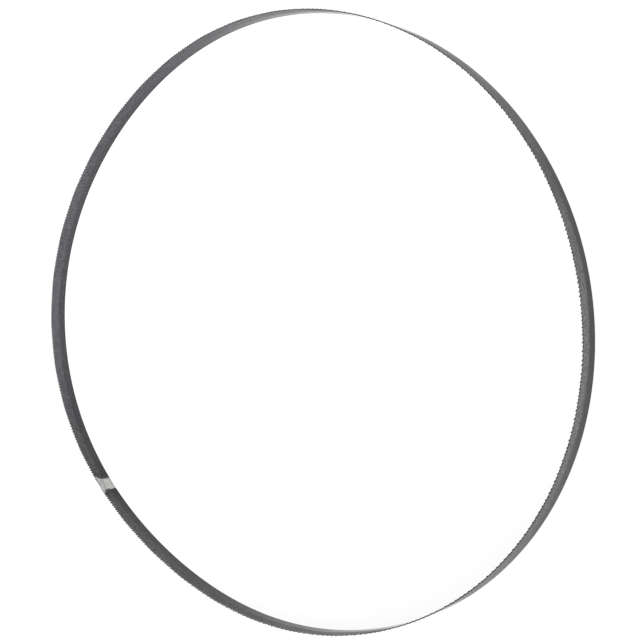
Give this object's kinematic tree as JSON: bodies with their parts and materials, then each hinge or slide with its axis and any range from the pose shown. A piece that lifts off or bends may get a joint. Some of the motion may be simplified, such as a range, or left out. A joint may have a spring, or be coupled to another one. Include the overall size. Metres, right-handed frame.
{
  "type": "band saw blade",
  "caption": "Endless toothed steel band sprung out to a hoop, with fine set teeth of varying pitch along one edge and a ground butt weld.",
  "frame": {"origin": "middle of the hoop's bounding box, on the surface that the back edge rests on", "axes": "+Z along the hoop's axis, from the back edge to the tooth tips; +X along the hoop's longer way across"},
  "size_m": [0.4596, 0.3934, 0.013],
  "materials": {
    "band_steel": "dark heat-treated blade steel, semi-gloss, with a bright ground weld patch"
  },
  "bodies": {
    "root": {"toothed_band": "band_steel"}
  },
  "joints": []
}
